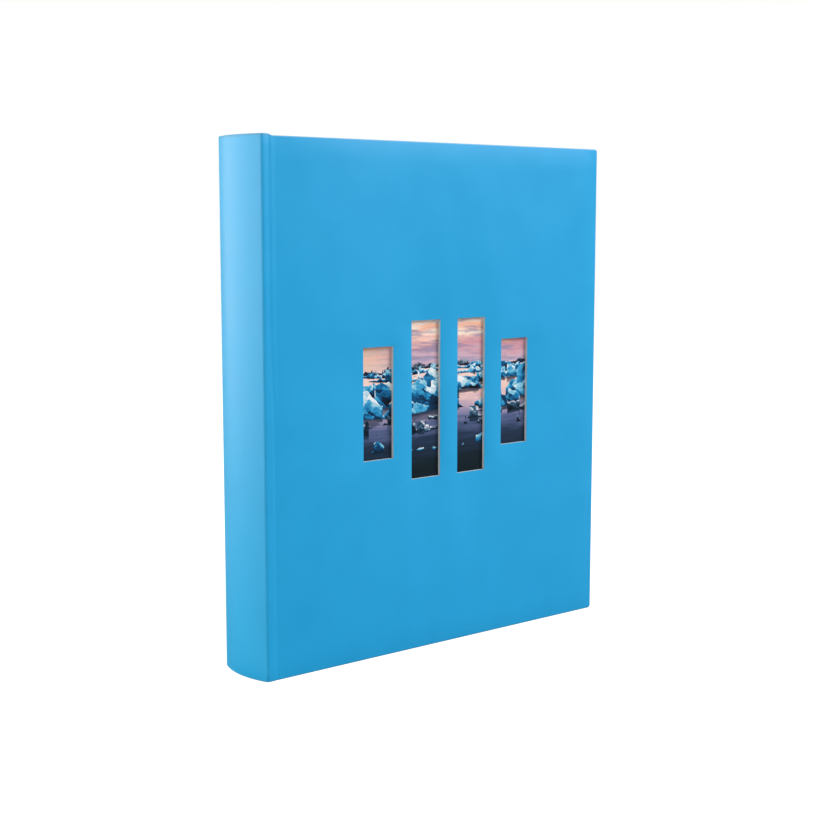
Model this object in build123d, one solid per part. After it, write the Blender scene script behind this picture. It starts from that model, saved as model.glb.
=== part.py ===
from build123d import *
import os
from math import sqrt

# Bound scrapbook album with a four-window front cover, closed and standing on its lower edges.
# Frame: +Z is up, the spine runs along -X, the front cover faces -Y, and the origin is the middle of
# the footprint. All sizes are in millimetres. Each sub-part is written to parts/NAME.step.

# Overall sizes
WIDTH = 278.0
THICKNESS = 46.0
BOARD_HEIGHT = 320.0
SPINE_HEIGHT = 321.0

# Spine: a bent board with a rounded back and two short returns over the joints
SPINE_BULGE = 4.7
SPINE_CORNER = 2.0
SPINE_RETURN_END = 10.7
SPINE_BOARD = 1.4

# Papers, boards and cards, by thickness
WRAP = 0.2
LINING = 0.2
WINDOW_BOARD = 1.8
BACKING_CARD = 1.2
PRINT = 0.25
PASTEDOWN = 0.2
FLYLEAF = 0.25
LEAF = 0.5
INTERLEAF = 0.1
MULL = 0.25
GLUE = 0.4

# Covers
COVER_START = 12.5
COVER_CORNER = 2.0
COVER_EDGE = 0.7
TURN_IN = 15.0
PASTEDOWN_MARGIN = 3.0

# Joint between spine and cover: a pressed groove, folding about a line just outside the paper
HINGE_FROM_SPINE = 11.5
GROOVE_DEPTH = 0.3
LIP_GAP = 0.25

# Windows in the front cover, and the picture behind them
WINDOW_WIDTH = 23.5
WINDOW_PITCH = 38.0
WINDOW_HEIGHTS = (70.0, 100.0, 100.0, 70.0)
PRINT_WIDTH = 152.0
PRINT_HEIGHT = 108.0

# Book block
LEAF_COUNT = 20
SQUARE = 4.0
BLOCK_GAP = 0.35
BLOCK_BACK = 7.3
STUB_WIDTH = 15.0
SPACER_WIDTH = 12.0
CREASE_GAP = 0.35
FLY_CREASE_SETBACK = 4.0
INTERLEAF_GAP = 0.12
INTERLEAF_SETBACK = 1.0
MULL_MARGIN = 10.0
MULL_FLANGE = 8.0

# Headbands
HEADBAND_RADIUS = 1.1
HEADBAND_TAPE = 0.3
HEADBAND_TAPE_DROP = 16.0

# Places worked out from the sizes above
SPINE_X = -WIDTH / 2
FORE_EDGE_X = WIDTH / 2
FRONT_Y = -THICKNESS / 2
MID_Z = BOARD_HEIGHT / 2
COVER = (SPINE_X + COVER_START, FORE_EDGE_X)
COVER_MID_X = sum(COVER) / 2
COVER_THICKNESS = WRAP + WINDOW_BOARD + BACKING_CARD
COVER_INSIDE_Y = FRONT_Y + COVER_THICKNESS
PRINT_Y = FRONT_Y + WRAP + WINDOW_BOARD
HINGE_X = SPINE_X + HINGE_FROM_SPINE
RETURN_END_X = SPINE_X + SPINE_RETURN_END
BLOCK_FRONT_Y = COVER_INSIDE_Y + PASTEDOWN + BLOCK_GAP
PACK_FRONT_Y = BLOCK_FRONT_Y + FLYLEAF + MULL
PITCH = -2 * PACK_FRONT_Y / LEAF_COUNT
STUB_X = SPINE_X + BLOCK_BACK
CREASE_X = STUB_X + STUB_WIDTH
FLY_CREASE_X = CREASE_X - FLY_CREASE_SETBACK
PAGE_EDGE_X = FORE_EDGE_X - SQUARE
PAGE_Z = (SQUARE, BOARD_HEIGHT - SQUARE)


def slab(x, y, z):
    """Box between the low and high values of x, y and z."""
    size = [high - low for low, high in (x, y, z)]
    middle = [(low + high) / 2 for low, high in (x, y, z)]
    return Pos(*middle) * Box(*size)


def at_back(shape):
    """The same piece on the other side of the album's middle plane."""
    return mirror(shape, about=Plane.XZ)


def leaf_y(number):
    """Middle of a leaf's thickness, counted from 1 at the front."""
    return PACK_FRONT_Y + PITCH * (number - 0.5)


# ---- spine ----


def spine_area(inset, end_x):
    """Plan area inside the spine's outer face drawn in by inset, closed off at end_x."""
    half_chord = THICKNESS / 2
    bulge_radius = (half_chord**2 + SPINE_BULGE**2) / (2 * SPINE_BULGE)
    centre_x = SPINE_X + bulge_radius
    radius = bulge_radius - inset
    half = half_chord - inset
    corner_x = centre_x - sqrt(radius**2 - half**2)
    outline = [
        Line((end_x, -half), (corner_x, -half)),
        ThreePointArc((corner_x, -half), (centre_x - radius, 0), (corner_x, half)),
        Line((corner_x, half), (end_x, half)),
        Line((end_x, half), (end_x, -half)),
    ]
    area = make_face(outline)
    corners = area.vertices().group_by(Axis.X)[0]
    return fillet(corners, SPINE_CORNER - inset)


def spine_channel(outer_inset, inner_inset, end_x, z):
    """Bent sheet between two insets of the spine's outer face, from height z[0] to z[1]."""
    section = spine_area(outer_inset, end_x) - spine_area(inner_inset, end_x)
    return extrude(Pos(0, 0, z[0]) * section, z[1] - z[0])


def groove_lip(x):
    """Strip of covering paper that lies in the front joint's groove."""
    paper_y = FRONT_Y + GROOVE_DEPTH
    return slab(x, (paper_y, paper_y + WRAP), (0, BOARD_HEIGHT))


def make_spine():
    """Spine board, its covering paper with head and tail turn-ins, and its lining."""
    board_inner = WRAP + SPINE_BOARD
    full = board_inner + LINING
    board_end = RETURN_END_X - WRAP
    envelope = spine_channel(0, full, RETURN_END_X, (0, SPINE_HEIGHT))
    board = spine_channel(WRAP, board_inner, board_end, (WRAP, SPINE_HEIGHT - WRAP))
    lining = spine_channel(board_inner, full, board_end, (TURN_IN, SPINE_HEIGHT - TURN_IN))
    lip = groove_lip((board_end, HINGE_X - LIP_GAP))
    wrap = envelope - board - lining + lip + at_back(lip)
    return {"spine_board": board, "spine_wrap": wrap, "spine_lining": lining}


# ---- covers ----


def cover_plate(x, y, z, corner, edge):
    """Plate with rounded fore-edge corners and softened edges on three sides."""
    plate = slab(x, y, z)
    plate = fillet(plate.edges().filter_by(Axis.Y).group_by(Axis.X)[-1], corner)
    rims = ShapeList(plate.faces().sort_by(Axis.Y)[0].edges() + plate.faces().sort_by(Axis.Y)[-1].edges())
    wrapped = rims.filter_by(lambda rim: rim.center().X > x[0] + edge)
    return fillet(wrapped, edge)


def make_cover_core():
    """All the board inside a front cover's wrap, standing proud between the turn-ins."""
    x = (COVER[0] + WRAP, COVER[1] - WRAP)
    y = (FRONT_Y + WRAP, COVER_INSIDE_Y - WRAP)
    z = (WRAP, BOARD_HEIGHT - WRAP)
    plate = cover_plate(x, y, z, COVER_CORNER - WRAP, COVER_EDGE - WRAP)
    panel_x = (x[0], COVER[1] - TURN_IN)
    panel_z = (TURN_IN, BOARD_HEIGHT - TURN_IN)
    return plate + slab(panel_x, (y[1], COVER_INSIDE_Y), panel_z)


def make_cover_wrap(core):
    """Covering paper of a front cover: face, edges, turn-ins and the lip in the groove."""
    envelope = cover_plate(COVER, (FRONT_Y, COVER_INSIDE_Y), (0, BOARD_HEIGHT), COVER_CORNER, COVER_EDGE)
    lip = groove_lip((HINGE_X + LIP_GAP, COVER[0] + WRAP))
    return envelope - core + lip


def make_pastedown():
    """Endpaper half that is pasted to the inside of a front cover."""
    x = (COVER[0] + WRAP, COVER[1] - PASTEDOWN_MARGIN)
    z = (PASTEDOWN_MARGIN, BOARD_HEIGHT - PASTEDOWN_MARGIN)
    return slab(x, (COVER_INSIDE_Y, COVER_INSIDE_Y + PASTEDOWN), z)


def window_cutters():
    """Blocks that cut the four windows through the wrap and the window board."""
    first_x = COVER_MID_X - WINDOW_PITCH * (len(WINDOW_HEIGHTS) - 1) / 2
    cutters = []
    for index, height in enumerate(WINDOW_HEIGHTS):
        middle_x = first_x + index * WINDOW_PITCH
        x = (middle_x - WINDOW_WIDTH / 2, middle_x + WINDOW_WIDTH / 2)
        z = (MID_Z - height / 2, MID_Z + height / 2)
        cutters.append(slab(x, (FRONT_Y - 1, PRINT_Y), z))
    return cutters


def make_front_cover():
    """Windowed front cover: wrap, window board, picture, backing card and pastedown."""
    core = make_cover_core()
    windows = window_cutters()
    face_layer = slab(COVER, (FRONT_Y, PRINT_Y), (0, BOARD_HEIGHT))
    print_x = (COVER_MID_X - PRINT_WIDTH / 2, COVER_MID_X + PRINT_WIDTH / 2)
    print_z = (MID_Z - PRINT_HEIGHT / 2, MID_Z + PRINT_HEIGHT / 2)
    picture = slab(print_x, (PRINT_Y, PRINT_Y + PRINT), print_z)
    return {
        "front_cover_wrap": make_cover_wrap(core) - windows,
        "front_cover_board": (core & face_layer) - windows,
        "window_print": picture,
        "window_backing_card": core - face_layer - picture,
        "front_pastedown": make_pastedown(),
    }


def make_back_cover():
    """Plain back cover: wrap, board and pastedown."""
    core = make_cover_core()
    return {
        "back_cover_wrap": at_back(make_cover_wrap(core)),
        "back_cover_board": at_back(core),
        "back_pastedown": at_back(make_pastedown()),
    }


# ---- book block ----


def make_leaves():
    """Each turning leaf, and the glassine sheet that lies in front of it."""
    pieces = {}
    for number in range(1, LEAF_COUNT + 1):
        middle = leaf_y(number)
        leaf_front = middle - LEAF / 2
        sheet_back = leaf_front - INTERLEAF_GAP
        start_x = CREASE_X + CREASE_GAP
        pieces[f"leaf_{number:02d}"] = slab((start_x, PAGE_EDGE_X), (leaf_front, middle + LEAF / 2), PAGE_Z)
        pieces[f"interleaf_{number:02d}"] = slab(
            (start_x, PAGE_EDGE_X - INTERLEAF_SETBACK), (sheet_back - INTERLEAF, sheet_back), PAGE_Z
        )
    return pieces


def make_leaf_stubs():
    """The bound edge of every leaf, from the glue to just short of its crease."""
    x = (STUB_X, CREASE_X - CREASE_GAP)
    stubs = [
        slab(x, (leaf_y(number) - LEAF / 2, leaf_y(number) + LEAF / 2), PAGE_Z)
        for number in range(1, LEAF_COUNT + 1)
    ]
    return Compound(children=stubs)


def make_spacer_strips():
    """Card strips that keep the leaves apart at the binding, one before, between and after them."""
    x = (STUB_X, STUB_X + SPACER_WIDTH)
    lows = [PACK_FRONT_Y] + [leaf_y(number) + LEAF / 2 for number in range(1, LEAF_COUNT + 1)]
    highs = [leaf_y(number) - LEAF / 2 for number in range(1, LEAF_COUNT + 1)] + [-PACK_FRONT_Y]
    return Compound(children=[slab(x, (low, high), PAGE_Z) for low, high in zip(lows, highs)])


def make_endpapers():
    """Fly leaves, and the folds of the endpapers that are tipped to the block."""
    y = (BLOCK_FRONT_Y, BLOCK_FRONT_Y + FLYLEAF)
    flyleaf = slab((FLY_CREASE_X + CREASE_GAP, PAGE_EDGE_X), y, PAGE_Z)
    fold = slab((STUB_X, FLY_CREASE_X - CREASE_GAP), y, PAGE_Z)
    return {
        "front_flyleaf": flyleaf,
        "back_flyleaf": at_back(flyleaf),
        "endpaper_folds": Compound(children=[fold, at_back(fold)]),
    }


def make_block_back():
    """Glue film on the back of the block, and the mull cloth folded round it."""
    glue_x = (STUB_X - GLUE, STUB_X)
    glue = slab(glue_x, (PACK_FRONT_Y, -PACK_FRONT_Y), PAGE_Z)
    z = (PAGE_Z[0] + MULL_MARGIN, PAGE_Z[1] - MULL_MARGIN)
    back_x = (glue_x[0] - MULL, glue_x[0])
    flange_y = (PACK_FRONT_Y - MULL, PACK_FRONT_Y)
    flange = slab((back_x[0], back_x[0] + MULL_FLANGE), flange_y, z)
    mull = slab(back_x, (PACK_FRONT_Y, -PACK_FRONT_Y), z) + flange + at_back(flange)
    return {"spine_glue": glue, "mull_cloth": mull}


def make_headbands():
    """Woven bead over each end of the block's back, on a tape glued to the mull."""
    outer_x = STUB_X - GLUE - MULL - HEADBAND_TAPE
    length = -2 * PACK_FRONT_Y
    bead_z = PAGE_Z[1] + HEADBAND_RADIUS
    bead = Pos(outer_x + HEADBAND_RADIUS, 0, bead_z) * Rot(X=90) * Cylinder(HEADBAND_RADIUS, length)
    tape_x = (outer_x, outer_x + HEADBAND_TAPE)
    tape = slab(tape_x, (-length / 2, length / 2), (PAGE_Z[1] - HEADBAND_TAPE_DROP, bead_z))
    top = bead + tape
    bottom = mirror(top, about=Plane.XY.offset(MID_Z))
    return {"headband_top": top, "headband_bottom": bottom}


def main():
    parts = {
        **make_spine(),
        **make_front_cover(),
        **make_back_cover(),
        **make_endpapers(),
        **make_block_back(),
        **make_headbands(),
        **make_leaves(),
        "leaf_stubs": make_leaf_stubs(),
        "spacer_strips": make_spacer_strips(),
    }
    os.makedirs("parts", exist_ok=True)
    for name, shape in parts.items():
        export_step(shape, f"parts/{name}.step")
    print(len(parts), "parts; pitch", round(PITCH, 4), "crease x", CREASE_X, "hinge x", HINGE_X)


main()
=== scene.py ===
import math
import random

import bmesh
import bpy
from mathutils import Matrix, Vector


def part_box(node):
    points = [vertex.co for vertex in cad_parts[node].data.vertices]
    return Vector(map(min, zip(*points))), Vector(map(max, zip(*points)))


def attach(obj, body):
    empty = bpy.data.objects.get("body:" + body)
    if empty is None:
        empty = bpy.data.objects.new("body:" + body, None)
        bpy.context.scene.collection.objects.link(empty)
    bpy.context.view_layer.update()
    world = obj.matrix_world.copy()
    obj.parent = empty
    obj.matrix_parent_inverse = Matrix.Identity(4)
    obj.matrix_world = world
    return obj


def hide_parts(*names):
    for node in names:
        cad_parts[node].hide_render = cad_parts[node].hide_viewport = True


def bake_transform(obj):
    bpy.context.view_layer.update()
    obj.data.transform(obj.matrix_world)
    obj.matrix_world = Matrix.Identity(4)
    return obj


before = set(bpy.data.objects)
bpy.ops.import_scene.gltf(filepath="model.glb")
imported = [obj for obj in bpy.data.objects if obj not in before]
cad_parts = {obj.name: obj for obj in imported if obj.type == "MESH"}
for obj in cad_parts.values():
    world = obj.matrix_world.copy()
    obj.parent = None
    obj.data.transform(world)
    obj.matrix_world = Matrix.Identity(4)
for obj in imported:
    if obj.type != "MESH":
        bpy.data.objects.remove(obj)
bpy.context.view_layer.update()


# --- Turning leaves -----------------------------------------------------------------------------
# Twenty leaves of stiff ivory card, scored beside the binding.
# Each is a single sheet that starts at its glued stub. The card keeps a slight wave of its own.

MM = 0.001
LEAF_CARD = 0.5 * MM
CREASE_HALF = 0.35 * MM
SHARED_WAVE = 0.28 * MM
OWN_WAVE = 0.2 * MM
SHARED_SEED, LEAF_SEED = 7, 100
LEAF_COLUMNS, LEAF_ROWS = 34, 30
LEAD_STEPS = 4
TOUCHING = 0.01 * MM
leaf_names = sorted(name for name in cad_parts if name.startswith("leaf_") and name[5:].isdigit())


def corners(node):
    """Lowest and highest corners of a part."""
    return [Vector(corner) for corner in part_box(node)]


page_low, page_high = corners(leaf_names[0])


def srgb(red, green, blue):
    """Colour from its everyday 0 to 255 values, as the linear colour that shaders take."""
    part = [value / 255 for value in (red, green, blue)]
    return [v / 12.92 if v <= 0.04045 else ((v + 0.055) / 1.055) ** 2.4 for v in part] + [1]


def add_node(tree, kind, inputs=None, **settings):
    """Node of that kind, with its settings made and each input given a value or linked to a socket."""
    made = tree.nodes.new(kind)
    for name, value in settings.items():
        setattr(made, name, value)
    for place, value in (inputs or {}).items():
        if isinstance(value, bpy.types.NodeSocket):
            tree.links.new(value, made.inputs[place])
        else:
            made.inputs[place].default_value = value
    return made


def calc(tree, operation, *values, clamp=False):
    """Result of one step of arithmetic."""
    step = add_node(tree, "ShaderNodeMath", dict(enumerate(values)), operation=operation, use_clamp=clamp)
    return step.outputs[0]


def mix(tree, factor, first, second):
    """Colour that goes from the first to the second as the factor goes from 0 to 1."""
    return add_node(tree, "ShaderNodeMix", {0: factor, 6: first, 7: second}, data_type="RGBA").outputs[2]


def spread(tree, value, from_low, from_high, to_low=0.0, to_high=1.0):
    """Value carried smoothly from one range to another and held at its ends."""
    inputs = {"Value": value, "From Min": from_low, "From Max": from_high,
              "To Min": to_low, "To Max": to_high}
    return add_node(tree, "ShaderNodeMapRange", inputs, interpolation_type="SMOOTHSTEP").outputs["Result"]


def noise(tree, place, scale, detail=2.0, roughness=0.5):
    """Soft random pattern from 0 to 1 with that many patches to the metre."""
    inputs = {"Vector": place, "Scale": scale, "Detail": detail, "Roughness": roughness}
    return add_node(tree, "ShaderNodeTexNoise", inputs).outputs["Fac"]


def object_place(tree):
    """Place on the object, in metres."""
    return add_node(tree, "ShaderNodeTexCoord").outputs["Object"]


def split(tree, vector):
    """The vector's X, Y and Z."""
    return add_node(tree, "ShaderNodeSeparateXYZ", {0: vector}).outputs


def joined(tree, *values):
    """Vector made of two or three values."""
    return add_node(tree, "ShaderNodeCombineXYZ", dict(enumerate(values))).outputs[0]


def drawn_out(tree, vector, share):
    """Place for a pattern whose marks are drawn out upwards, by one over that share."""
    return add_node(tree, "ShaderNodeMapping", {"Vector": vector, "Scale": (1.0, 1.0, share)}).outputs[0]


def new_group(name, inputs, outputs):
    """Empty shader node group with those number inputs and outputs, and its two end nodes."""
    tree = bpy.data.node_groups.new(name, "ShaderNodeTree")
    for socket, value in inputs.items():
        tree.interface.new_socket(socket, in_out="INPUT", socket_type="NodeSocketFloat").default_value = value
    for socket in outputs:
        tree.interface.new_socket(socket, in_out="OUTPUT", socket_type="NodeSocketFloat")
    return tree, tree.nodes.new("NodeGroupInput").outputs, tree.nodes.new("NodeGroupOutput").inputs


# Paper fibres: a fine felt of short hairs over broad, faint patches where the pulp lies thicker.
HAIR_STRETCH = 0.22
HAIR_SHARE = 0.4
PULP_PATCHES = 38.0
fibres, ends_in, ends_out = new_group("paper_fibres", {"Fineness": 900.0}, ("Height", "Patches"))
place = object_place(fibres)
felt = noise(fibres, place, ends_in["Fineness"], 4.0, 0.65)
hairs = noise(fibres, drawn_out(fibres, place, HAIR_STRETCH), ends_in["Fineness"], 2.0, 0.7)
height = calc(fibres, "MULTIPLY_ADD", felt, 1 - HAIR_SHARE, calc(fibres, "MULTIPLY", hairs, HAIR_SHARE))
fibres.links.new(height, ends_out["Height"])
fibres.links.new(noise(fibres, place, PULP_PATCHES, 3.0), ends_out["Patches"])


def paper_felt(tree, fineness):
    """Height and patches of paper with that many fibres to the metre."""
    return add_node(tree, "ShaderNodeGroup", {"Fineness": fineness}, node_tree=fibres).outputs


def new_material(name, **constants):
    """Material with a bare shader, whose even properties are set on the shader's own sockets."""
    material = bpy.data.materials.new(name)
    material.use_nodes = True
    shader = material.node_tree.nodes["Principled BSDF"]
    for socket, value in constants.items():
        shader.inputs[socket.replace("_", " ")].default_value = value
    return material, material.node_tree, shader


def bump(tree, shader, height, depth):
    """Gives the shader the small relief of a 0 to 1 height pattern of that depth in metres."""
    relief = add_node(tree, "ShaderNodeBump", {"Height": height, "Strength": 1.0, "Distance": depth})
    tree.links.new(relief.outputs[0], shader.inputs["Normal"])


def paper_material(name, light, dark, fineness, depth, roughness, **constants):
    """Uncoated paper or card: two close shades in patches, a felted surface and uneven roughness."""
    material, tree, shader = new_material(name, **constants)
    felt = paper_felt(tree, fineness)
    shade = calc(tree, "MULTIPLY_ADD", felt["Height"], 0.5, calc(tree, "MULTIPLY", felt["Patches"], 0.5))
    tree.links.new(mix(tree, spread(tree, shade, 0.35, 0.65), dark, light), shader.inputs["Base Color"])
    tree.links.new(spread(tree, felt["Patches"], 0.3, 0.7, roughness - 0.05, roughness + 0.05),
                   shader.inputs["Roughness"])
    bump(tree, shader, felt["Height"], depth)
    return material


page_card = paper_material("page_card", srgb(242, 237, 226), srgb(232, 226, 212), 1400.0, 0.03 * MM, 0.8)


def begin(name):
    """The primitive just added becomes this piece, in metres at the origin, open with nothing selected."""
    piece = bpy.context.object
    piece.name = piece.data.name = name
    bpy.ops.object.transform_apply(location=True, rotation=True, scale=True)
    bpy.ops.object.mode_set(mode="EDIT")
    bpy.ops.mesh.select_all(action="DESELECT")
    return piece


def pick(piece, kind, test):
    """Selects only the vertices, edges or faces whose middle, and normal, pass the test."""
    bpy.ops.mesh.select_mode(type={"verts": "VERT", "edges": "EDGE", "faces": "FACE"}[kind])
    bpy.ops.mesh.select_all(action="DESELECT")
    shape = bmesh.from_edit_mesh(piece.data)
    for item in getattr(shape, kind):
        corners = [item] if kind == "verts" else item.verts
        middle = sum((corner.co for corner in corners), Vector()) / len(corners)
        facing = None if kind == "edges" else item.normal
        item.select_set(bool(test(middle, facing)))
    bmesh.update_edit_mesh(piece.data)


def modify(piece, kind, **settings):
    """Adds a modifier with those settings and applies it."""
    step = piece.modifiers.new(kind.lower(), kind)
    for name, value in settings.items():
        setattr(step, name, value)
    bpy.context.view_layer.objects.active = piece
    bpy.ops.object.modifier_apply(modifier=step.name)


def dress(piece, materials, smooth=30):
    """Gives the piece its materials and soft shading."""
    piece.data.materials.clear()
    for material in materials:
        piece.data.materials.append(material)
    bpy.ops.object.select_all(action="DESELECT")
    piece.select_set(True)
    bpy.context.view_layer.objects.active = piece
    bpy.ops.object.shade_smooth_by_angle(angle=math.radians(smooth))


def flat_sheet(name, low, high, columns, rows, lead=0.0):
    """Upright sheet between two corners, at the low one's depth, with a lead towards the spine."""
    middle = (low + high) / 2
    bpy.ops.mesh.primitive_grid_add(x_subdivisions=columns, y_subdivisions=rows, size=1,
                                    location=(middle.x, low.y, middle.z), rotation=(math.pi / 2, 0, 0))
    bpy.context.object.scale = (high.x - low.x, high.z - low.z, 1)
    piece = begin(name)
    if lead:
        pick(piece, "edges", lambda at, facing: at.x < low.x + TOUCHING)
        for _ in range(LEAD_STEPS):
            bpy.ops.mesh.extrude_region_move(TRANSFORM_OT_translate={"value": (-lead / LEAD_STEPS, 0, 0)})
    bpy.ops.object.mode_set(mode="OBJECT")
    return piece


def swell(x, z, seed):
    """Smooth random height from -1 to 1 over a sheet, flat at the crease and free at the fore-edge."""
    draw = random.Random(seed)
    across, along, lean = (draw.uniform(0, math.tau) for _ in range(3))
    free = min(1.0, max(0.0, (x - page_low.x) / (page_high.x - page_low.x)))
    height = (z - page_low.z) / (page_high.z - page_low.z)
    long_wave = 0.5 * math.sin(4.2 * height + along)
    slanting_wave = 0.3 * math.sin(3.1 * free + 2.4 * height + across)
    short_wave = 0.2 * math.sin(9.0 * height + lean)
    return free ** 1.4 * (long_wave + slanting_wave + short_wave)


def leaf_shift(number, x, z):
    """How far a leaf's card lies from flat, shared with its neighbours but less so beside the covers."""
    room = math.sin(math.pi * (number - 0.5) / len(leaf_names))
    own = OWN_WAVE * room * swell(x, z, LEAF_SEED + number)
    return SHARED_WAVE * room * swell(x, z, SHARED_SEED) + own


def reshape(piece, shift):
    """Moves every vertex front to back by what shift says for its place."""
    for vertex in piece.data.vertices:
        vertex.co.y += shift(vertex.co.x, vertex.co.z)


for number, node in enumerate(leaf_names, start=1):
    low, high = corners(node)
    sheet_low = Vector((low.x, (low.y + high.y) / 2, low.z))
    leaf = flat_sheet(f"turning_{node}", sheet_low, high, LEAF_COLUMNS, LEAF_ROWS, 2 * CREASE_HALF)
    reshape(leaf, lambda x, z: leaf_shift(number, x, z))
    modify(leaf, "SOLIDIFY", thickness=LEAF_CARD, offset=0)
    dress(leaf, [page_card])
    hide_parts(node)
    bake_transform(leaf)


# --- Glassine interleaves -----------------------------------------------------------------------
# A sheet of glazed, half clear tissue in front of every leaf, to keep what is mounted from rubbing.
# It is pressed with a faint cobweb of lines and curls away from its leaf a little at the fore-edge.

GLASSINE = 0.1 * MM
CURL = 0.45 * MM
CURL_SEED = 300
GLASSINE_COLUMNS, GLASSINE_ROWS = 30, 26
WEB_CELLS = 60.0
WEB_LINE = 0.045
WEB_WANDER = 0.02
glassine, tree, shader = new_material("glassine", Alpha=0.6, Roughness=0.32, Specular_IOR_Level=0.4)
place = object_place(tree)
wander = add_node(tree, "ShaderNodeTexNoise", {"Vector": place, "Scale": WEB_CELLS / 2, "Detail": 2.0})
strayed = add_node(tree, "ShaderNodeVectorMath", {0: wander.outputs["Color"], "Scale": WEB_WANDER},
                   operation="SCALE").outputs[0]
bent = add_node(tree, "ShaderNodeVectorMath", {0: place, 1: strayed}, operation="ADD").outputs[0]
web = add_node(tree, "ShaderNodeTexVoronoi", {"Vector": bent, "Scale": WEB_CELLS},
               feature="DISTANCE_TO_EDGE")
line = spread(tree, web.outputs["Distance"], 0.0, WEB_LINE, 1.0, 0.0)
tree.links.new(mix(tree, line, srgb(236, 240, 240), srgb(250, 252, 252)), shader.inputs["Base Color"])
bump(tree, shader, line, 0.06 * MM)

for number, leaf_node in enumerate(leaf_names, start=1):
    node = leaf_node.replace("leaf", "interleaf")
    low, high = corners(node)
    sheet_low = Vector((low.x, (low.y + high.y) / 2, low.z))
    tissue = flat_sheet(f"tissue_{node}", sheet_low, high, GLASSINE_COLUMNS, GLASSINE_ROWS)
    reshape(tissue, lambda x, z: leaf_shift(number, x, z) - CURL * abs(swell(x, z, CURL_SEED + number)))
    modify(tissue, "SOLIDIFY", thickness=GLASSINE, offset=0)
    dress(tissue, [glassine])
    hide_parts(node)
    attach(tissue, leaf_node)


# --- Stubs and spacer strips --------------------------------------------------------------------
# The bound edge of each leaf, packed out with card strips so that the block stays square when full.
# They are cut from the same card as the leaves.

def coat_node(node, material):
    """A part whose shape is right keeps it and takes a finish."""
    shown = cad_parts[node]
    shown.data.materials.clear()
    shown.data.materials.append(material)


coat_node("leaf_stubs", page_card)
coat_node("spacer_strips", page_card)


# --- Glue and mull ------------------------------------------------------------------------------
# The back of the block is glued up, then lined with an open-weave cotton whose flanges lap the
# first and last strip. The glue dries to a clear amber film with brush marks.

BRISTLES = 700.0
STROKE_STRETCH = 0.08
glue_film, tree, shader = new_material("glue_film", Roughness=0.28, Coat_Weight=0.3, Coat_Roughness=0.15)
strokes = noise(tree, drawn_out(tree, object_place(tree), STROKE_STRETCH), BRISTLES, 3.0)
tree.links.new(mix(tree, spread(tree, strokes, 0.35, 0.65), srgb(224, 210, 176), srgb(238, 229, 203)),
               shader.inputs["Base Color"])
bump(tree, shader, strokes, 0.08 * MM)
coat_node("spine_glue", glue_film)

MULL_THREADS = 900.0
mull, tree, shader = new_material("mull", Specular_IOR_Level=0.2)
spot = split(tree, object_place(tree))
around = calc(tree, "ADD", spot["X"], spot["Y"])
threads = []
for run in (around, spot["Z"]):
    turn = calc(tree, "SINE", calc(tree, "MULTIPLY", run, MULL_THREADS * math.tau))
    threads.append(spread(tree, turn, -0.2, 0.9))
cloth = calc(tree, "MAXIMUM", *threads)
tree.links.new(mix(tree, cloth, srgb(176, 164, 140), srgb(228, 221, 203)), shader.inputs["Base Color"])
tree.links.new(spread(tree, cloth, 0.0, 1.0, 0.75, 0.92), shader.inputs["Roughness"])
bump(tree, shader, cloth, 0.12 * MM)
coat_node("mull_cloth", mull)


# --- Headbands ----------------------------------------------------------------------------------
# A cord at each end of the block's back, bound side by side with blue and white cotton thread
# and sewn to a tape that is glued down over the mull.

THREAD_PITCH = 0.5 * MM
BEAD_RADIUS = 0.85 * MM
THREAD_RADIUS = 0.26 * MM
BEAD_SIDES, THREAD_SIDES = 14, 6
STRIPE_PITCH = 6 * THREAD_PITCH
TWIST_PITCH = 0.35 * MM
TAPE = 0.3 * MM
cotton, tree, shader = new_material("headband_cotton", Roughness=0.8, Specular_IOR_Level=0.25)
spot = split(tree, object_place(tree))
stripe = calc(tree, "SINE", calc(tree, "MULTIPLY", spot["Y"], math.tau / STRIPE_PITCH))
slant = calc(tree, "ADD", spot["Y"], calc(tree, "ADD", spot["X"], spot["Z"]))
twist = calc(tree, "SINE", calc(tree, "MULTIPLY", slant, math.tau / TWIST_PITCH))
tree.links.new(mix(tree, spread(tree, stripe, -0.1, 0.1), srgb(62, 150, 206), srgb(240, 240, 236)),
               shader.inputs["Base Color"])
bump(tree, shader, twist, 0.05 * MM)

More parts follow.
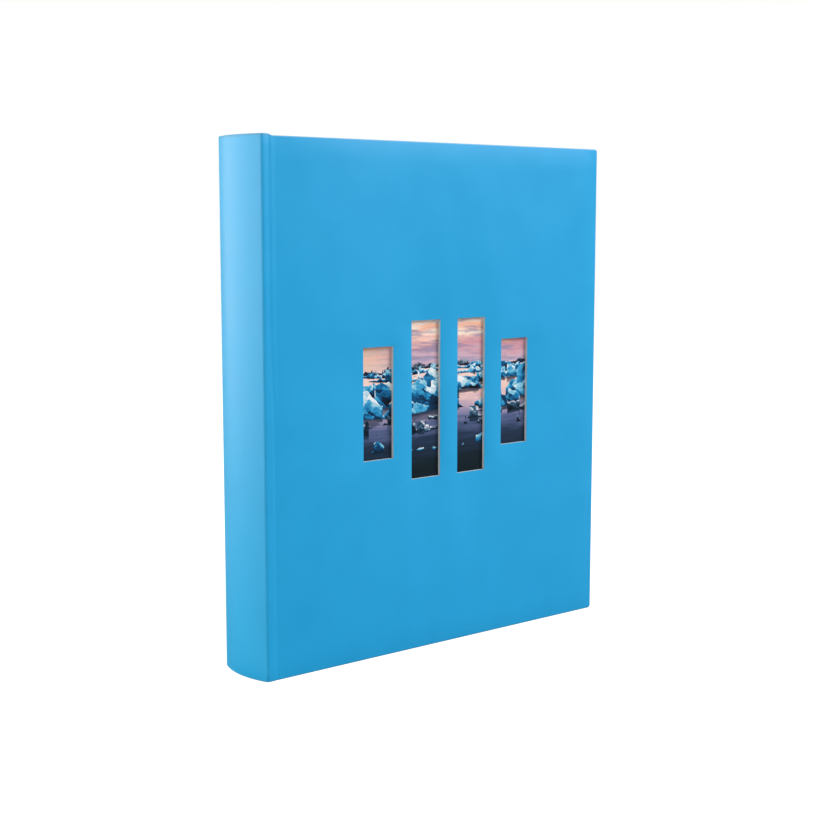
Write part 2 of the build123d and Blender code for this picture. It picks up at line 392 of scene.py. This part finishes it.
for node, inward in (("headband_top", -1), ("headband_bottom", 1)):
    low, high = corners(node)
    bead_z = (high.z if inward < 0 else low.z) + inward * (high.x - low.x) / 2
    bead_x = (low.x + high.x) / 2
    middle_y = (low.y + high.y) / 2
    tape_end = low.z if inward < 0 else high.z
    bpy.ops.mesh.primitive_torus_add(
        major_segments=BEAD_SIDES, minor_segments=THREAD_SIDES, major_radius=BEAD_RADIUS,
        minor_radius=THREAD_RADIUS, location=(bead_x, low.y + THREAD_PITCH, bead_z),
        rotation=(math.pi / 2, 0, 0))
    band = begin(f"sewn_{node}")
    bpy.ops.object.mode_set(mode="OBJECT")
    turns = round((high.y - low.y) / THREAD_PITCH) - 1
    modify(band, "ARRAY", count=turns, use_relative_offset=False, use_constant_offset=True,
           constant_offset_displace=(0, THREAD_PITCH, 0))
    bpy.ops.mesh.primitive_cylinder_add(
        vertices=BEAD_SIDES, radius=BEAD_RADIUS, depth=high.y - low.y,
        location=(bead_x, middle_y, bead_z), rotation=(math.pi / 2, 0, 0))
    core = begin(f"core_{node}")
    bpy.ops.object.mode_set(mode="OBJECT")
    bpy.ops.mesh.primitive_cube_add(size=1, location=(low.x + TAPE / 2, middle_y, (tape_end + bead_z) / 2),
                                    scale=(TAPE, high.y - low.y, abs(bead_z - tape_end)))
    tape = begin(f"tape_{node}")
    bpy.ops.mesh.select_all(action="SELECT")
    bpy.ops.mesh.bevel(offset=TAPE / 4, segments=2)
    bpy.ops.object.mode_set(mode="OBJECT")
    bpy.ops.object.select_all(action="DESELECT")
    for part in (core, tape, band):
        part.select_set(True)
    bpy.context.view_layer.objects.active = band
    bpy.ops.object.join()
    dress(band, [cotton], 50)
    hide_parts(node)
    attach(band, "binding")


# --- Endpapers ----------------------------------------------------------------------------------
# A folded white sheet at each end: one half is the free fly leaf, the other is pasted to the cover.
# Beside the joint the pasted half is left loose.

ENDPAPER = 0.25 * MM
FLY_WAVE = 0.16 * MM
FLY_SEED = 500
LOOSE_WIDTH = 2.8 * MM
LOOSE_PAPER = 0.12 * MM
LOOSE_INSET = 0.1 * MM
LOOSE_COLUMNS, LOOSE_ROWS = 28, 24
endpaper = paper_material("endpaper", srgb(246, 245, 241), srgb(238, 237, 232), 1800.0, 0.015 * MM, 0.72)
for node in ("endpaper_folds", "front_pastedown", "back_pastedown"):
    coat_node(node, endpaper)

for side, name in ((-1, "front"), (1, "back")):
    low, high = corners(f"{name}_flyleaf")
    middle_y = (low.y + high.y) / 2
    sheet_low = Vector((low.x, middle_y, low.z))
    fly = flat_sheet(f"{name}_fly_sheet", sheet_low, high, LEAF_COLUMNS, LEAF_ROWS, 2 * CREASE_HALF)
    reshape(fly, lambda x, z: -side * FLY_WAVE * abs(swell(x, z, FLY_SEED + side)))
    modify(fly, "SOLIDIFY", thickness=ENDPAPER, offset=0)
    dress(fly, [endpaper])
    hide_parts(f"{name}_flyleaf")
    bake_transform(fly)

    pasted_low, pasted_high = corners(f"{name}_pastedown")
    strip_y = (pasted_high.y if side < 0 else pasted_low.y) - side * LOOSE_INSET
    strip_from = Vector((pasted_low.x, strip_y, low.z))
    strip_to = Vector((pasted_low.x + LOOSE_WIDTH, strip_y, high.z))
    strip = flat_sheet(f"{name}_endpaper_joint", strip_from, strip_to, LOOSE_COLUMNS, LOOSE_ROWS)
    modify(strip, "SOLIDIFY", thickness=LOOSE_PAPER, offset=0)
    dress(strip, [endpaper], 60)
    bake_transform(strip)


# --- Boards -------------------------------------------------------------------------------------
# Solid grey bookbinding board, rolled in layers from waste paper, so it carries flecks, and its
# cut edge shows the layers. The front board is pierced with the windows and backed with a card.

LAYER = 0.32 * MM
LAYER_STRAY = 0.25 * MM
FLECKS = 450.0
greyboard, tree, shader = new_material("greyboard", Specular_IOR_Level=0.2)
place = object_place(tree)
felt = paper_felt(tree, 700.0)
ragged = calc(tree, "MULTIPLY_ADD", noise(tree, place, 500.0), LAYER_STRAY, split(tree, place)["Y"])
layers = calc(tree, "SINE", calc(tree, "MULTIPLY", ragged, math.tau / LAYER))
shade = calc(tree, "MULTIPLY_ADD", layers, 0.18, felt["Height"])
flecks = add_node(tree, "ShaderNodeTexVoronoi", {"Vector": place, "Scale": FLECKS}).outputs["Distance"]
board = mix(tree, spread(tree, shade, 0.25, 0.8), srgb(174, 184, 190), srgb(208, 217, 221))
board = mix(tree, spread(tree, flecks, 0.08, 0.2, 0.5, 0.0), board, srgb(118, 114, 110))
tree.links.new(board, shader.inputs["Base Color"])
tree.links.new(spread(tree, felt["Height"], 0.3, 0.7, 0.82, 0.95), shader.inputs["Roughness"])
bump(tree, shader, shade, 0.06 * MM)
for node in ("front_cover_board", "window_backing_card", "back_cover_board"):
    coat_node(node, greyboard)


# --- Picture behind the windows -----------------------------------------------------------------
# One wide print lies behind all four windows: a sunset over a lagoon full of drifting ice.
# It is satin inkjet paper, and every berg is drawn by a rule, row behind row to the horizon.

picture_low, picture_high = corners("window_print")
picture_height = picture_high.z - picture_low.z
HORIZON = 0.685
SHORE_SWAY = 0.012
ICE_DIP = 0.004
LEAST_RISE = 0.002
BLOCKS, FACETS, CHIPS, GRIT = 3.0, 3.4, 3.2, 16.0
MIRROR_SQUASH = 2.2
MIRROR_FADE = 0.16
MIRROR_STRENGTH = 0.95

# One row of bergs: a ragged skyline over a waterline, facets on the ice, and its dark mirror image.
row_inputs = {"U": 0.0, "V": 0.0, "Waterline": 0.5, "Tall": 0.1, "Spacing": 4.0, "Share": 0.5, "Seed": 0.0}
bergs, ends_in, ends_out = new_group("berg_row", row_inputs, ("Ice", "Mirror", "Facet", "Rise"))
across, up, seed = ends_in["U"], ends_in["V"], ends_in["Seed"]
sway = calc(bergs, "SINE", calc(bergs, "MULTIPLY_ADD", across, 7.0, seed))
shore = calc(bergs, "MULTIPLY_ADD", sway, SHORE_SWAY, ends_in["Waterline"])
skyline_place = joined(bergs, across, seed)
block_scale = calc(bergs, "MULTIPLY", ends_in["Spacing"], BLOCKS)
blocks = add_node(bergs, "ShaderNodeTexVoronoi", {"Vector": skyline_place, "Scale": block_scale})
skyline = calc(bergs, "MULTIPLY_ADD", noise(bergs, skyline_place, ends_in["Spacing"], 3.0, 0.45), 0.8,
               calc(bergs, "MULTIPLY", split(bergs, blocks.outputs["Color"])["X"], 0.2))
open_water = calc(bergs, "SUBTRACT", 1.0, ends_in["Share"])
rise = calc(bergs, "MULTIPLY", calc(bergs, "SUBTRACT", skyline, open_water), ends_in["Tall"])
above = calc(bergs, "SUBTRACT", up, shore)
over_water = calc(bergs, "GREATER_THAN", above, -ICE_DIP)
bergs.links.new(calc(bergs, "MULTIPLY", over_water, calc(bergs, "LESS_THAN", above, rise)), ends_out["Ice"])

# The mirror image is squashed, broken into streaks by the water and weaker towards its foot.
streak_place = joined(bergs, calc(bergs, "MULTIPLY", across, 5.0), calc(bergs, "MULTIPLY", up, 60.0), seed)
streaks = noise(bergs, streak_place, 1.0, 3.0, 0.6)
ragged = calc(bergs, "MULTIPLY_ADD", streaks, 0.16, -0.08)
below = calc(bergs, "MULTIPLY_ADD", above, -MIRROR_SQUASH, ragged)
mirror = calc(bergs, "MULTIPLY", spread(bergs, calc(bergs, "SUBTRACT", rise, below), 0.0, 0.02),
              spread(bergs, below, 0.0, MIRROR_FADE, 1.0, 0.25))
under_water = calc(bergs, "SUBTRACT", 1.0, over_water)
bergs.links.new(calc(bergs, "MULTIPLY", mirror, under_water), ends_out["Mirror"])

# Broad slanting facets, with chips on them and grit over both.
leaning = calc(bergs, "MULTIPLY_ADD", across, 0.62, calc(bergs, "MULTIPLY", up, 0.3))
broken = calc(bergs, "MULTIPLY_ADD", noise(bergs, skyline_place, 30.0, 3.0), 0.05, up)
facet_place = joined(bergs, leaning, broken, seed)
facet_scale = calc(bergs, "MULTIPLY", ends_in["Spacing"], FACETS)
facets = add_node(bergs, "ShaderNodeTexVoronoi", {"Vector": facet_place, "Scale": facet_scale})
chip_scale = calc(bergs, "MULTIPLY", facet_scale, CHIPS)
chips = add_node(bergs, "ShaderNodeTexVoronoi", {"Vector": facet_place, "Scale": chip_scale})
grit = noise(bergs, facet_place, calc(bergs, "MULTIPLY", ends_in["Spacing"], GRIT), 4.0, 0.7)
chip_shade = calc(bergs, "MULTIPLY_ADD", split(bergs, chips.outputs["Color"])["Y"], 0.25,
                  calc(bergs, "MULTIPLY", grit, 0.4))
facet_shade = calc(bergs, "MULTIPLY_ADD", split(bergs, facets.outputs["Color"])["X"], 0.35, chip_shade)
bergs.links.new(facet_shade, ends_out["Facet"])
bergs.links.new(calc(bergs, "DIVIDE", above, calc(bergs, "MAXIMUM", rise, LEAST_RISE)), ends_out["Rise"])


def ramp(tree, factor, *stops):
    """Colour along a scale of (place, colour) stops."""
    made = add_node(tree, "ShaderNodeValToRGB", {"Fac": factor})
    band = made.color_ramp
    while len(band.elements) < len(stops):
        band.elements.new(0.5)
    for element, (at, colour) in zip(band.elements, stops):
        element.position = at
        element.color = colour
    return made.outputs["Color"]


picture, tree, shader = new_material("ice_lagoon_picture", Specular_IOR_Level=0.12)
place = object_place(tree)
on_print = add_node(tree, "ShaderNodeMapping", {
    "Vector": place,
    "Location": [-value / picture_height for value in picture_low],
    "Scale": [1 / picture_height] * 3}).outputs[0]
spot = split(tree, on_print)
u, v = spot["X"], spot["Z"]

cloud_place = joined(tree, calc(tree, "MULTIPLY_ADD", v, 1.8, u), calc(tree, "MULTIPLY", v, 6.0), 2.0)
cloud = noise(tree, cloud_place, 2.4, 5.0, 0.62)
sky_height = spread(tree, v, HORIZON - 0.05, 1.12)
sky = ramp(tree, calc(tree, "MULTIPLY_ADD", calc(tree, "SUBTRACT", cloud, 0.5), 0.7, sky_height),
           (0.0, srgb(156, 150, 180)), (0.12, srgb(206, 172, 186)), (0.26, srgb(206, 146, 158)),
           (0.38, srgb(238, 188, 176)), (0.5, srgb(250, 230, 212)), (0.62, srgb(240, 178, 150)),
           (0.76, srgb(250, 242, 232)), (0.95, srgb(176, 166, 184)))
veil = noise(tree, cloud_place, 4.2, 4.0, 0.6)
sky = mix(tree, spread(tree, veil, 0.5, 0.66, 0.0, 0.8), sky, srgb(146, 136, 164))
sky = mix(tree, spread(tree, u, 0.0, 0.5, 0.6, 0.0), sky, srgb(250, 212, 172))

ripple = noise(tree, joined(tree, u, calc(tree, "MULTIPLY", v, 9.0), 4.0), 3.4, 4.0, 0.55)
water = ramp(tree, calc(tree, "MULTIPLY_ADD", calc(tree, "SUBTRACT", ripple, 0.5), 0.2, v),
             (0.0, srgb(12, 23, 29)), (0.15, srgb(18, 34, 45)), (0.26, srgb(36, 52, 78)),
             (0.34, srgb(86, 98, 138)), (0.42, srgb(158, 146, 176)), (0.5, srgb(228, 190, 188)),
             (0.6, srgb(246, 208, 192)), (0.7, srgb(228, 202, 208)))
scenery = mix(tree, calc(tree, "GREATER_THAN", v, HORIZON), water, sky)

ice_shades = ((0.0, srgb(8, 20, 34)), (0.28, srgb(12, 56, 92)), (0.42, srgb(20, 112, 166)),
              (0.56, srgb(60, 160, 204)), (0.7, srgb(132, 194, 216)), (0.92, srgb(232, 236, 238)))
far_shades = ((0.0, srgb(14, 20, 34)), (0.6, srgb(34, 48, 72)), (1.0, srgb(140, 160, 176)))
dark_shades = ((0.0, srgb(8, 16, 26)), (0.5, srgb(18, 40, 60)), (0.72, srgb(60, 100, 130)),
               (0.9, srgb(214, 218, 226)))
mirror_colour = srgb(20, 46, 68)
berg_rows = (
    # waterline, height, patches across, share of the row that is ice, seed, shades
    (0.676, 0.12, 9.0, 0.66, 3.0, far_shades),
    (0.656, 0.16, 8.0, 0.66, 9.0, ice_shades),
    (0.626, 0.26, 6.0, 0.56, 14.5, ice_shades),
    (0.580, 0.44, 4.6, 0.51, 62.0, ice_shades),
    (0.530, 0.62, 3.4, 0.55, 21.0, ice_shades),
    (0.480, 0.80, 2.8, 0.55, 33.5, ice_shades),
    (0.425, 0.66, 3.2, 0.56, 47.0, ice_shades),
    (0.372, 0.50, 4.6, 0.56, 55.0, dark_shades),
    (0.318, 0.46, 4.6, 0.53, 71.0, dark_shades),
    (0.205, 0.46, 3.4, 0.46, 88.0, ice_shades),
)
for waterline, tall, spacing, share, seed, shades in berg_rows:
    inputs = {"U": u, "V": v, "Waterline": waterline, "Tall": tall, "Spacing": spacing, "Share": share,
              "Seed": seed}
    row = add_node(tree, "ShaderNodeGroup", inputs, node_tree=bergs).outputs
    lit = calc(tree, "MULTIPLY_ADD", row["Rise"], 0.5, calc(tree, "MULTIPLY_ADD", row["Facet"], 1.5, -0.52))
    scenery = mix(tree, calc(tree, "MULTIPLY", row["Mirror"], MIRROR_STRENGTH), scenery, mirror_colour)
    scenery = mix(tree, row["Ice"], scenery, ramp(tree, lit, *shades))
tree.links.new(scenery, shader.inputs["Base Color"])
sheen_spots = noise(tree, place, 160.0, 2.0)
tree.links.new(spread(tree, sheen_spots, 0.3, 0.7, 0.34, 0.42), shader.inputs["Roughness"])
bump(tree, shader, noise(tree, place, 1600.0, 2.0), 0.008 * MM)
coat_node("window_print", picture)


# --- Covering paper on the covers ---------------------------------------------------------------
# Strong blue paper with a matt film, glued over each board, folded round its edges and turned in.
# On the front it is die-cut with the windows, and its white core shows as a hairline at each cut.

PAPER = 0.2 * MM
CORNER = 2.0 * MM
EDGE = 0.6 * MM
TURN_IN = 15.0 * MM
CUT_ROUND = 0.05 * MM
WINDOW_WIDTH = 23.5 * MM
WINDOW_PITCH = 38.0 * MM
WINDOW_HEIGHTS = (70.0 * MM, 100.0 * MM, 100.0 * MM, 70.0 * MM)
SHADE_AND_RUB_WIDTH = 0.9 * MM
START_ROUND = 1.2 * MM
RIM = 0.1 * MM
SQUARE_ON = 0.9
board_low, board_high = corners("front_cover_board")
cover_from = board_low.x - PAPER
cover_to = board_high.x + PAPER
board_height = board_high.z + PAPER
middle_x = (cover_from + cover_to) / 2
middle_z = board_height / 2
first_window = middle_x - WINDOW_PITCH * (len(WINDOW_HEIGHTS) - 1) / 2
windows = [(first_window + place * WINDOW_PITCH, height) for place, height in enumerate(WINDOW_HEIGHTS)]

# Where paper is folded over a board's edge it is painted greyer, as shade on the rounded edge, and rubbed a
# little rougher.
edge_shade_rub, ends_in, ends_out = new_group(
    "edge_shade_and_rub", {"Top": board_height, "Side": cover_to, "Width": SHADE_AND_RUB_WIDTH}, ("Shade and wear",))
place = object_place(edge_shade_rub)
spot = split(edge_shade_rub, place)
inset = calc(edge_shade_rub, "MINIMUM", spot["Z"], calc(edge_shade_rub, "SUBTRACT", ends_in["Top"], spot["Z"]))
inset = calc(edge_shade_rub, "MINIMUM", inset, calc(edge_shade_rub, "SUBTRACT", ends_in["Side"], spot["X"]))
nearness = calc(edge_shade_rub, "SUBTRACT", 1.0, calc(edge_shade_rub, "DIVIDE", inset, ends_in["Width"]), clamp=True)
uneven = spread(edge_shade_rub, noise(edge_shade_rub, place, 260.0, 3.0), 0.25, 0.7, 0.55, 1.0)
edge_shade_rub.links.new(calc(edge_shade_rub, "MULTIPLY", nearness, uneven), ends_out["Shade and wear"])

covering, tree, shader = new_material("blue_covering_paper", Specular_IOR_Level=0.5)
felt = paper_felt(tree, 1500.0)
blue = mix(tree, spread(tree, felt["Patches"], 0.3, 0.7), srgb(5, 156, 213), srgb(8, 159, 216))
blue = mix(tree, spread(tree, felt["Height"], 0.3, 0.7, 0.0, 0.08), blue, srgb(44, 168, 222))
shade_and_wear = add_node(tree, "ShaderNodeGroup", node_tree=edge_shade_rub).outputs["Shade and wear"]
# Painted shade: the rounded folded edges are darkened towards grey blue.
blue = mix(tree, calc(tree, "MULTIPLY", shade_and_wear, 0.45), blue, srgb(74, 134, 166))
tree.links.new(blue, shader.inputs["Base Color"])
film = spread(tree, felt["Patches"], 0.3, 0.7, 0.42, 0.45)
tree.links.new(calc(tree, "MULTIPLY_ADD", shade_and_wear, 0.12, film), shader.inputs["Roughness"])
bump(tree, shader, felt["Height"], 0.012 * MM)
paper_core = paper_material("paper_core", srgb(226, 228, 226), srgb(204, 208, 208), 1800.0, 0.02 * MM, 0.85)


def cut_across(piece, at, normal):
    """Cuts the whole open piece along a plane, so that its faces end there."""
    bpy.ops.mesh.select_all(action="SELECT")
    bpy.ops.mesh.bisect(plane_co=at, plane_no=normal)


def paper_shell(piece):
    """Makes the open sheet real paper: full thickness inwards, a white core at cuts and soft edges."""
    bpy.ops.object.mode_set(mode="OBJECT")
    piece.data.materials.append(covering)
    piece.data.materials.append(paper_core)
    modify(piece, "SOLIDIFY", thickness=PAPER, offset=-1, material_offset_rim=1)
    modify(piece, "BEVEL", width=CUT_ROUND, segments=2, limit_method="ANGLE", angle_limit=math.radians(50))
    dress(piece, [covering, paper_core], 40)


for side, name in ((-1, "front"), (1, "back")):
    low, high = corners(f"{name}_cover_wrap")
    face_y, inside_y = (low.y, high.y) if side < 0 else (high.y, low.y)
    bpy.ops.mesh.primitive_cube_add(size=1, location=(middle_x, (face_y + inside_y) / 2, middle_z),
                                    scale=(cover_to - cover_from, abs(inside_y - face_y), board_height))
    cover = begin(f"{name}_covering_paper")
    pick(cover, "edges", lambda at, facing: at.x > cover_to - RIM and not RIM < at.z < board_height - RIM)
    bpy.ops.mesh.bevel(offset=CORNER, segments=6)
    start_x = cover_from + RIM
    pick(cover, "edges", lambda at, facing:
         at.x > start_x and min(abs(at.y - face_y), abs(at.y - inside_y)) < RIM)
    bpy.ops.mesh.bevel(offset=EDGE, segments=4)
    pick(cover, "edges", lambda at, facing: at.x < start_x and abs(at.y - face_y) < RIM)
    bpy.ops.mesh.bevel(offset=START_ROUND, segments=4)
    cuts = [(cover_to - TURN_IN, None), (None, TURN_IN), (None, board_height - TURN_IN)]
    if side < 0:
        for window_x, height in windows:
            cuts += [(window_x - WINDOW_WIDTH / 2, None), (window_x + WINDOW_WIDTH / 2, None)]
        for height in sorted(set(WINDOW_HEIGHTS)):
            cuts += [(None, middle_z - height / 2), (None, middle_z + height / 2)]
    for cut_x, cut_z in cuts:
        if cut_x is None:
            cut_across(cover, (0, 0, cut_z), (0, 0, 1))
        else:
            cut_across(cover, (cut_x, 0, 0), (1, 0, 0))

    def opened(at, facing):
        """True for a face to take away: in a window, or inside the cover between the turn-ins."""
        if facing.y * side > SQUARE_ON:
            return side < 0 and any(
                abs(at.x - window_x) < WINDOW_WIDTH / 2 and abs(at.z - middle_z) < height / 2
                for window_x, height in windows)
        inner = facing.y * side < -SQUARE_ON and at.x < cover_to - TURN_IN
        return inner and TURN_IN < at.z < board_height - TURN_IN

    pick(cover, "faces", opened)
    bpy.ops.mesh.delete(type="FACE")
    paper_shell(cover)
    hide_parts(f"{name}_cover_wrap")
    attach(cover, f"{name}_cover")


# --- Spine --------------------------------------------------------------------------------------
# A bent board with a rounded back and a short return on each cover, lined with kraft and covered
# with the same blue paper. The head of each return slopes down to meet the boards.

SPINE_CORNER = 2.0 * MM
SPINE_SHEET = 1.4 * MM
LINING = 0.2 * MM
SPINE_ROWS = 40
RETURN_STEPS, CORNER_STEPS, BACK_STEPS = 12, 12, 30
CASE_ROUND = 0.5 * MM
SPINE_BULGE = 4.7 * MM
HEAD_SLOPE = 3.8 * MM
GROOVE = 0.2 * MM
GROOVE_REACH = 2.2 * MM
GROOVE_LOW_X = -127.5 * MM
GROOVE_WANDER = 2.3 * MM
WANDER_FROM_Z = 145 * MM
WANDER_RISE = 70 * MM
spine_low, spine_high = corners("spine_wrap")
return_end = corners("spine_board")[1].x + PAPER
half = (spine_high.y - spine_low.y) / 2
back_radius = (half ** 2 + SPINE_BULGE ** 2) / (2 * SPINE_BULGE)
back_centre = spine_low.x + back_radius
head_step = spine_high.z - board_height
half_turn = math.asin((half - SPINE_CORNER) / (back_radius - SPINE_CORNER))
corner_centre = back_centre - (back_radius - SPINE_CORNER) * math.cos(half_turn)
kraft = paper_material("kraft_lining", srgb(184, 148, 108), srgb(164, 127, 88), 800.0, 0.04 * MM, 0.85)
coat_node("spine_lining", kraft)


def spine_sheet(name, low_z, high_z, skin):
    """Open sheet round the spine from return to return, drawn in from its outside by skin."""
    end_x = return_end - skin
    bpy.ops.mesh.primitive_plane_add(size=0.01, location=(end_x, -half, low_z))
    piece = begin(name)
    bpy.ops.mesh.select_mode(type="VERT")
    bpy.ops.mesh.select_all(action="SELECT")
    bpy.ops.mesh.merge(type="CENTER")
    bends = (
        (corner_centre, SPINE_CORNER - half, math.pi / 2 - half_turn, CORNER_STEPS),
        (back_centre, 0, 2 * half_turn, BACK_STEPS),
        (corner_centre, half - SPINE_CORNER, math.pi / 2 - half_turn, CORNER_STEPS),
    )
    step_x = (corner_centre - end_x) / RETURN_STEPS
    for _ in range(RETURN_STEPS):
        bpy.ops.mesh.extrude_region_move(TRANSFORM_OT_translate={"value": (step_x, 0, 0)})
    for centre_x, centre_y, angle, steps in bends:
        bpy.ops.mesh.spin(steps=steps, angle=angle, center=(centre_x, centre_y, low_z), axis=(0, 0, 1))
    for _ in range(RETURN_STEPS):
        bpy.ops.mesh.extrude_region_move(TRANSFORM_OT_translate={"value": (-step_x, 0, 0)})
    bpy.ops.mesh.select_all(action="SELECT")
    bpy.ops.mesh.remove_doubles(threshold=2 * TOUCHING)
    step_z = (high_z - low_z) / SPINE_ROWS
    for _ in range(SPINE_ROWS):
        bpy.ops.mesh.extrude_region_move(TRANSFORM_OT_translate={"value": (0, 0, step_z)})
    bpy.ops.mesh.select_all(action="SELECT")
    bpy.ops.mesh.normals_make_consistent(inside=False)
    shape = bmesh.from_edit_mesh(piece.data)
    backmost = min(shape.faces, key=lambda face: face.calc_center_median().x)
    if backmost.normal.x > 0:
        bpy.ops.mesh.flip_normals()
    if skin:
        bpy.ops.transform.shrink_fatten(value=-skin)
    bpy.ops.object.mode_set(mode="OBJECT")
    return piece


def eased(value):
    """The value held between 0 and 1, with a soft start and end."""
    held = min(1.0, max(0.0, value))
    return held * held * (3 - 2 * held)


def head_drop(x, z):
    """How far the head has come down to the covers' height, shared out down the spine."""
    return head_step * eased((x - cover_from + HEAD_SLOPE) / HEAD_SLOPE) * z / board_height


def groove_depth(x, z):
    """Depth of the soft groove pressed beside the spine, which wanders towards it higher up."""
    groove_x = GROOVE_LOW_X - GROOVE_WANDER * eased((z - WANDER_FROM_Z) / WANDER_RISE)
    off = min(1.0, abs(x - groove_x) / GROOVE_REACH)
    return GROOVE * math.cos(off * math.pi / 2) ** 2


def press_returns(piece):
    """Presses the groove into the outside of both returns, and brings their heads down to the covers'."""
    for vertex in piece.data.vertices:
        x, y, z = vertex.co
        if abs(y) > half - SPINE_SHEET / 2:
            vertex.co.y -= math.copysign(groove_depth(x, z), y)
        vertex.co.z -= head_drop(x, z)


spine_board = spine_sheet("bent_spine_board", spine_low.z + PAPER, spine_high.z - PAPER, PAPER)
modify(spine_board, "SOLIDIFY", thickness=SPINE_SHEET, offset=-1, use_even_offset=True)
press_returns(spine_board)
dress(spine_board, [greyboard])
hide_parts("spine_board")
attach(spine_board, "binding")

case_thickness = PAPER + SPINE_SHEET + LINING
nearly_through = 0.9 * case_thickness
spine_paper = spine_sheet("spine_covering_paper", spine_low.z, spine_high.z, 0)
modify(spine_paper, "SOLIDIFY", thickness=case_thickness, offset=-1, use_even_offset=True)
modify(spine_paper, "BEVEL", width=CASE_ROUND, segments=4, limit_method="ANGLE", angle_limit=math.radians(50))
bpy.ops.object.mode_set(mode="EDIT")
cut_across(spine_paper, (0, 0, TURN_IN), (0, 0, 1))
cut_across(spine_paper, (0, 0, spine_high.z - TURN_IN), (0, 0, 1))


def lined(at, facing):
    """True for a face on the spine's inside that the kraft lining covers."""
    off_returns = abs(at.y) < half - nearly_through
    off_back = math.hypot(at.x - back_centre, at.y) < back_radius - nearly_through
    return off_returns and off_back and TURN_IN < at.z < spine_high.z - TURN_IN


pick(spine_paper, "faces", lined)
bpy.ops.mesh.delete(type="FACE")
bpy.ops.object.mode_set(mode="OBJECT")
press_returns(spine_paper)
paper_shell(spine_paper)
# Where rounded edges meet at the foot a few corners would dip below it.
for vertex in spine_paper.data.vertices:
    vertex.co.z = max(vertex.co.z, spine_low.z)
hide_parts("spine_wrap")
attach(spine_paper, "binding")


# --- Joints -------------------------------------------------------------------------------------
# Between the spine's return and each cover the same paper is pressed down into a groove with no
# board behind it.

JOINT_COLUMNS = 30
FOLD = 0.5 * MM
FOLD_STEPS = (0.1 * MM, 0.1 * MM, 0.12 * MM, 0.14 * MM, 0.16 * MM, 0.18 * MM, 1.0 * MM, 1.5 * MM)


def folded(beyond):
    """Height and depth of a point that lies that far past where the sheet begins to fold inwards."""
    turn = min(beyond / FOLD, math.pi / 2)
    return FOLD * math.sin(turn), FOLD * (1 - math.cos(turn)) + max(0.0, beyond - FOLD * math.pi / 2)


for side, name in ((-1, "front"), (1, "back")):
    strip_from = Vector((return_end - CASE_ROUND, side * (half - PAPER / 2), spine_low.z + FOLD + PAPER / 2))
    strip_to = Vector((cover_from + START_ROUND, strip_from.y, board_height - FOLD - PAPER / 2))
    joint = flat_sheet(f"{name}_joint_paper", strip_from, strip_to, JOINT_COLUMNS, SPINE_ROWS)
    bpy.ops.object.mode_set(mode="EDIT")
    for edge_z, way in ((strip_to.z, 1), (strip_from.z, -1)):
        pick(joint, "edges", lambda at, facing: (at.z - edge_z) * way > -TOUCHING)
        for step in FOLD_STEPS:
            bpy.ops.mesh.extrude_region_move(TRANSFORM_OT_translate={"value": (0, 0, way * step)})
    bpy.ops.object.mode_set(mode="OBJECT")
    for vertex in joint.data.vertices:
        x, y, z = vertex.co
        height, depth = z, 0.0
        if z > strip_to.z:
            rise, depth = folded(z - strip_to.z)
            height = strip_to.z + rise
        elif z < strip_from.z:
            fall, depth = folded(strip_from.z - z)
            height = strip_from.z - fall
        vertex.co.y -= side * (groove_depth(x, height) + depth)
        vertex.co.z = height + (head_step - head_drop(x, board_height)) * height / board_height
    modify(joint, "SOLIDIFY", thickness=PAPER, offset=0)
    dress(joint, [covering], 60)
    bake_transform(joint)


# --- Floor, light and camera --------------------------------------------------------------------
# A plain white floor and surround. A soft key light stands high on the right, a long, slightly warm
# soft wall on the spine's side, and a weak fill near the camera. The spine's side is turned nearest.

FLOOR_SIZE = 12
FLOOR_DROP = 0.1 * MM
FLOOR_GLOW = 0.93
ALBUM_MIDDLE = (0, 0, 0.16)
WARM_WHITE = (1, 0.86, 0.77)
SURROUND = 0.2

floor_paint, tree, shader = new_material("studio_floor", Roughness=0.9, Specular_IOR_Level=0.1)
shader.inputs["Base Color"].default_value = (0.3, 0.3, 0.3, 1)
shader.inputs["Emission Color"].default_value = (1, 1, 1, 1)
seen = add_node(tree, "ShaderNodeLightPath").outputs["Is Camera Ray"]
tree.links.new(calc(tree, "MULTIPLY", seen, FLOOR_GLOW), shader.inputs["Emission Strength"])
bpy.ops.mesh.primitive_plane_add(size=FLOOR_SIZE, location=(0, 0, -FLOOR_DROP))
floor = bpy.context.object
floor.name = "studio_floor"
floor.data.materials.append(floor_paint)


def soft_light(name, place, size, power, aim=ALBUM_MIDDLE, colour=(1, 1, 1)):
    """Soft light of that width and height in metres and power in watts, turned to its aim."""
    bpy.ops.object.light_add(type="AREA", location=place)
    light = bpy.context.object
    light.name = name
    light.data.shape = "RECTANGLE"
    light.data.size, light.data.size_y = size
    light.data.energy = power
    light.data.color = colour
    light.rotation_euler = (Vector(aim) - Vector(place)).to_track_quat("-Z", "Y").to_euler()


soft_light("key_softbox", (1.6, -1.35, 1.75), (1.4, 1.4), 85)
soft_light("fill_softbox", (-1.3, -1.6, 0.8), (1.2, 1.2), 8)
soft_light("spine_wall", (-1.0, 0.46, 0.43), (2.6, 1.1), 31, (-0.139, 0, 0.4), WARM_WHITE)
world = bpy.data.worlds.new("white_studio")
bpy.context.scene.world = world
world.use_nodes = True
tree = world.node_tree
backdrop = tree.nodes["Background"]
backdrop.inputs["Color"].default_value = (1, 1, 1, 1)
seen = add_node(tree, "ShaderNodeLightPath").outputs["Is Camera Ray"]
tree.links.new(calc(tree, "MULTIPLY_ADD", seen, 1 - SURROUND, SURROUND), backdrop.inputs["Strength"])

CAMERA_PLACE = Vector((-603.5, -730.8, 271.1)) * MM
CAMERA_AIM = Vector((0.6260, 0.7697, -0.1252))
bpy.ops.object.camera_add(location=CAMERA_PLACE)
camera = bpy.context.object
camera.rotation_euler = CAMERA_AIM.to_track_quat("-Z", "Y").to_euler()
camera.data.lens = 65.0
camera.data.sensor_width = 36.0
bpy.context.scene.camera = camera
bpy.context.scene.view_settings.view_transform = "Standard"
